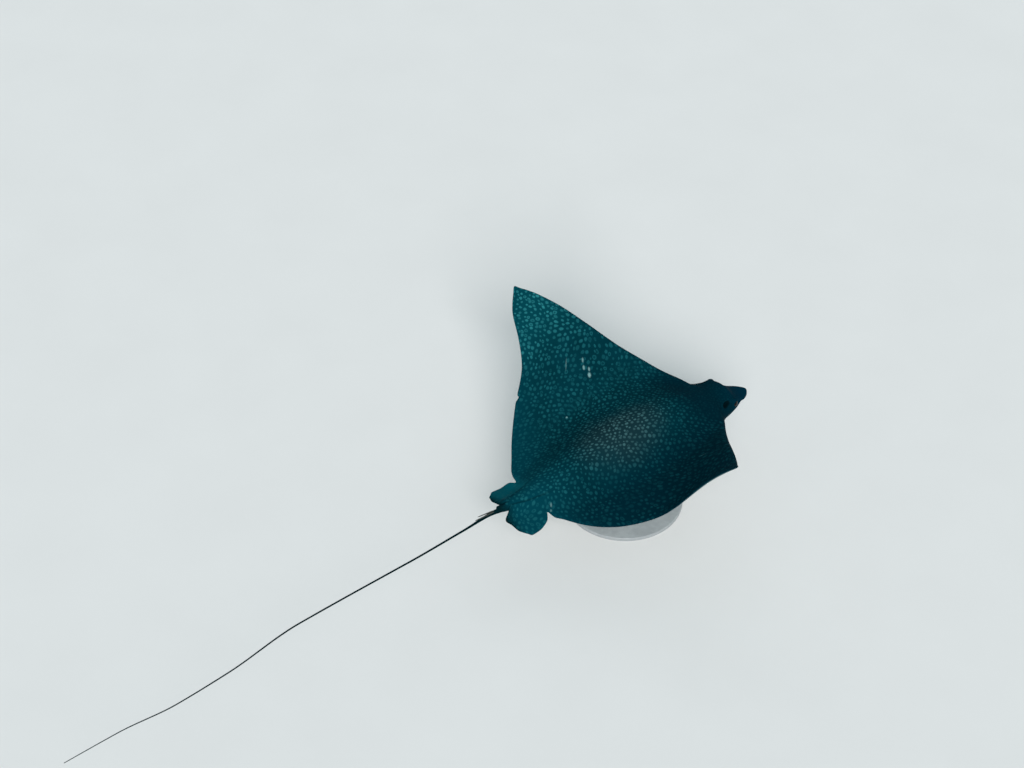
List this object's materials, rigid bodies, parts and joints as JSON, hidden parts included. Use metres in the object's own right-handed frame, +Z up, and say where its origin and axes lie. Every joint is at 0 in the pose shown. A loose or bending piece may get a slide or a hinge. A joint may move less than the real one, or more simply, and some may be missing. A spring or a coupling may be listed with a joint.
{
  "type": "spotted eagle ray model",
  "caption": "Life-size spotted eagle ray in mid upstroke, wings raised in a V and whip tail trailing, held level on a round display stand with short rods.",
  "frame": {"origin": "middle of the underside of the stand's round base", "axes": "+Z up, snout towards -Y and tail towards +Y, the ray's left wing towards +X"},
  "size_m": [1.2234, 2.8656, 0.6431],
  "materials": {
    "skin": "smooth skin, dark blue-green back with paler spots and rings, white belly",
    "eye": "glossy",
    "spine": "dark horn, slightly rough",
    "stand_paint": "satin pale grey paint",
    "stand_steel": "brushed",
    "stand_pad": "matt"
  },
  "bodies": {
    "root": {"head": "skin", "snout_lobe": "skin", "trunk": "skin", "wing_left": "skin", "wing_right": "skin", "pelvic_fin_left": "skin", "pelvic_fin_right": "skin", "tail_1": "skin", "tail_2": "skin", "tail_3": "skin", "tail_4": "skin", "dorsal_fin": "skin", "eye_left": "eye", "eye_right": "eye", "tail_spine_1": "spine", "tail_spine_2": "spine", "stand_base": "stand_paint", "stand_rod_front": "stand_steel", "stand_rod_rear": "stand_steel", "stand_pad_front": "stand_pad", "stand_pad_rear": "stand_pad"}
  },
  "joints": []
}
